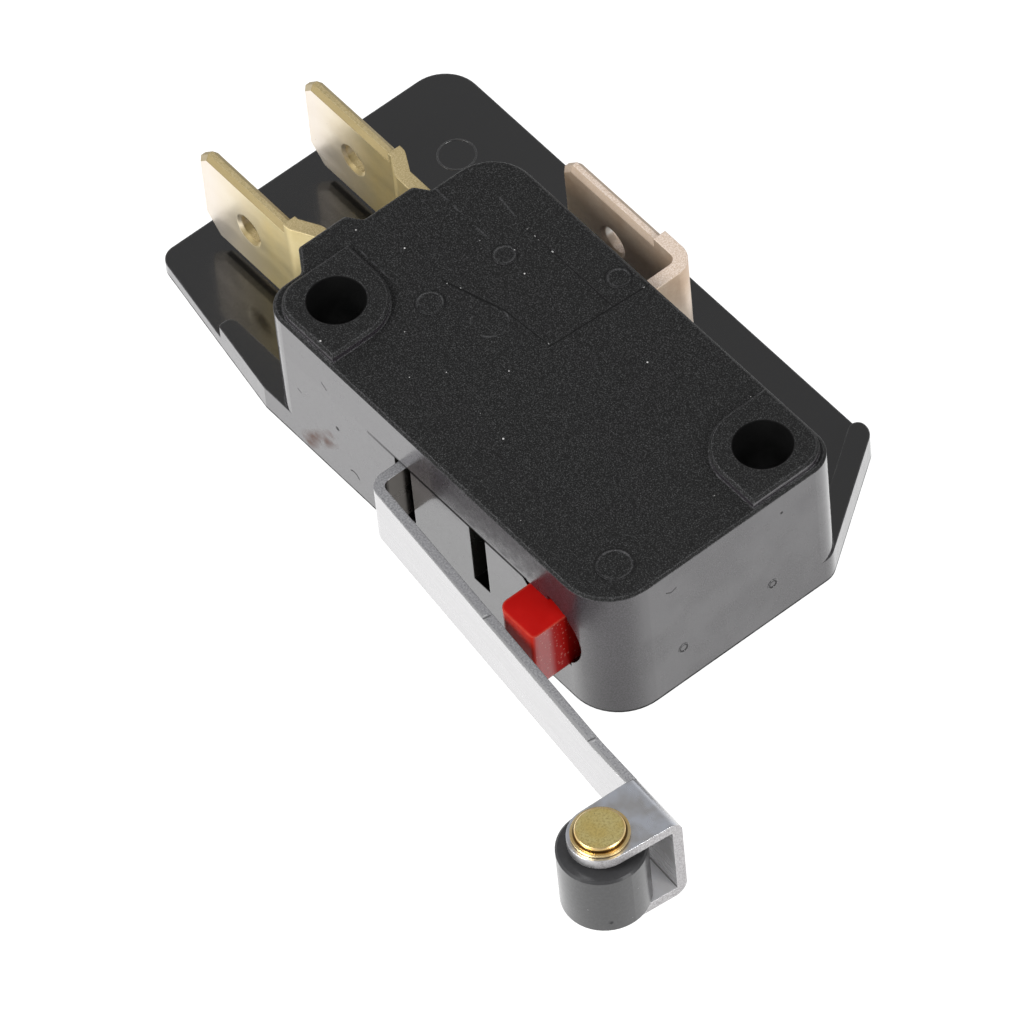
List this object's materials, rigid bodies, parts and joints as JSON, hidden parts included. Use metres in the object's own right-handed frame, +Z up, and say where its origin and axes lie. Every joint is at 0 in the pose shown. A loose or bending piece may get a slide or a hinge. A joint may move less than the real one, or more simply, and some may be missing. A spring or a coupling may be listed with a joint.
{
  "type": "lever micro switch",
  "caption": "Snap-action switch with a hinged roller lever, red plunger, push-on tabs and a side barrier plate; screws on through its body.",
  "frame": {"origin": "axis of the fixing hole at the terminal end, at the housing's underside", "axes": "+X along the body to the plunger end, -Y to the side that the plunger and lever face, +Y to the common tab, +Z up through the cover"},
  "size_m": [0.0513, 0.0319, 0.0103],
  "materials": {
    "housing": "satin moulded black",
    "plunger_plastic": "gloss moulded red",
    "lever_steel": "bright rolled strip",
    "roller_plastic": "satin",
    "pin_brass": "satin turned",
    "tab_brass": "satin rolled",
    "tab_copper_alloy": "satin rolled",
    "contact_silver": "satin",
    "spring_brass": "satin",
    "spring_wire": "bright drawn wire"
  },
  "bodies": {
    "housing": {"case": "housing", "cover": "housing", "common_terminal": "tab_copper_alloy", "normally_closed_terminal": "tab_brass", "normally_open_terminal": "tab_brass", "normally_closed_contact": "contact_silver", "normally_open_contact": "contact_silver"},
    "lever": {"lever": "lever_steel", "roller_pin": "pin_brass"},
    "roller": {"roller": "roller_plastic"},
    "plunger": {"plunger": "plunger_plastic"},
    "swing_lever": {"swing_lever": "spring_brass"},
    "contact_arm": {"contact_arm": "spring_brass", "moving_contact": "contact_silver"},
    "snap_spring": {"snap_spring": "spring_wire"}
  },
  "joints": [
    {"name": "lever_hinge", "type": "hinge", "parent": "housing", "child": "lever", "pos_m": [0.0085, -0.0023, 0.005], "axis": [0, 0, 1], "range_deg": [0, 11.5], "stiffness_Nm_per_rad": 0.03, "springref_deg": -14.32},
    {"name": "roller_spin", "type": "hinge", "parent": "lever", "child": "roller", "pos_m": [0.03391, -0.0105, 0.0043], "axis": [0, 0, 1], "continuous": true},
    {"name": "plunger_slide", "type": "slide", "parent": "housing", "child": "plunger", "axis": [0, 1, 0], "range_m": [0, 0.002]},
    {"name": "swing_lever_hinge", "type": "hinge", "parent": "housing", "child": "swing_lever", "pos_m": [0.00933, 0.00558, 0.00495], "axis": [0, 0, 1], "range_deg": [0, 10.32]},
    {"name": "contact_arm_hinge", "type": "hinge", "parent": "housing", "child": "contact_arm", "pos_m": [0.00897, 0.00513, 0.00495], "axis": [0, 0, 1], "range_deg": [-6.74, 0]},
    {"name": "snap_spring_slide", "type": "slide", "parent": "housing", "child": "snap_spring", "axis": [0, 1, 0], "range_m": [0, 0.00066]}
  ],
  "couplings": [
    {"joint": "plunger_slide", "follows": "lever_hinge", "m_per_rad": 0.00995},
    {"joint": "swing_lever_hinge", "follows": "lever_hinge", "ratio": 0.896},
    {"joint": "contact_arm_hinge", "follows": "lever_hinge", "ratio": -0.585},
    {"joint": "snap_spring_slide", "follows": "lever_hinge", "m_per_rad": 0.00328}
  ]
}
